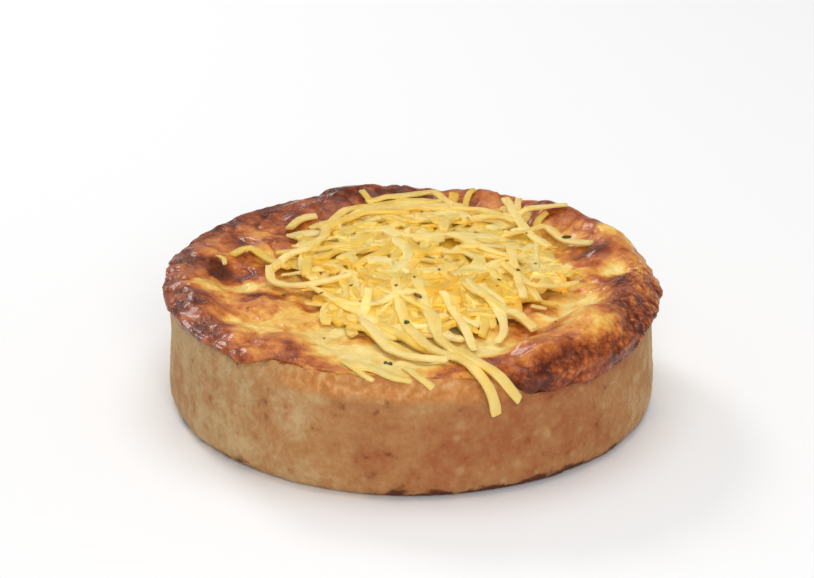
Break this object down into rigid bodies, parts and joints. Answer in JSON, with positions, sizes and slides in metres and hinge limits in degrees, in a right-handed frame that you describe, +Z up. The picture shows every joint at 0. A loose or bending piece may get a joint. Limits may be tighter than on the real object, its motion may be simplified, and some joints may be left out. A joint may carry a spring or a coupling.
{
  "type": "quiche",
  "caption": "Single-portion round quiche: straight-sided shortcrust case, baked custard filling with a browned, puffed top, and a heap of grated cheese.",
  "frame": {"origin": "centre of the flat base, on the surface that the quiche stands on", "axes": "+Z up through the middle of the quiche, -Y towards its front, where two shreds of cheese hang over the rim, +X to the right"},
  "size_m": [0.1178, 0.1169, 0.0372],
  "materials": {
    "pastry_case": "dry, matt golden-brown baked shortcrust pastry",
    "custard_filling": "baked egg custard, glossy with fat, pale yellow where low and orange to purple-brown where browned",
    "grated_cheese": "pale yellow grated hard cheese, slightly waxy and translucent"
  },
  "bodies": {
    "root": {"pastry_case": "pastry_case", "custard_filling": "custard_filling", "grated_cheese": "grated_cheese"}
  },
  "joints": []
}
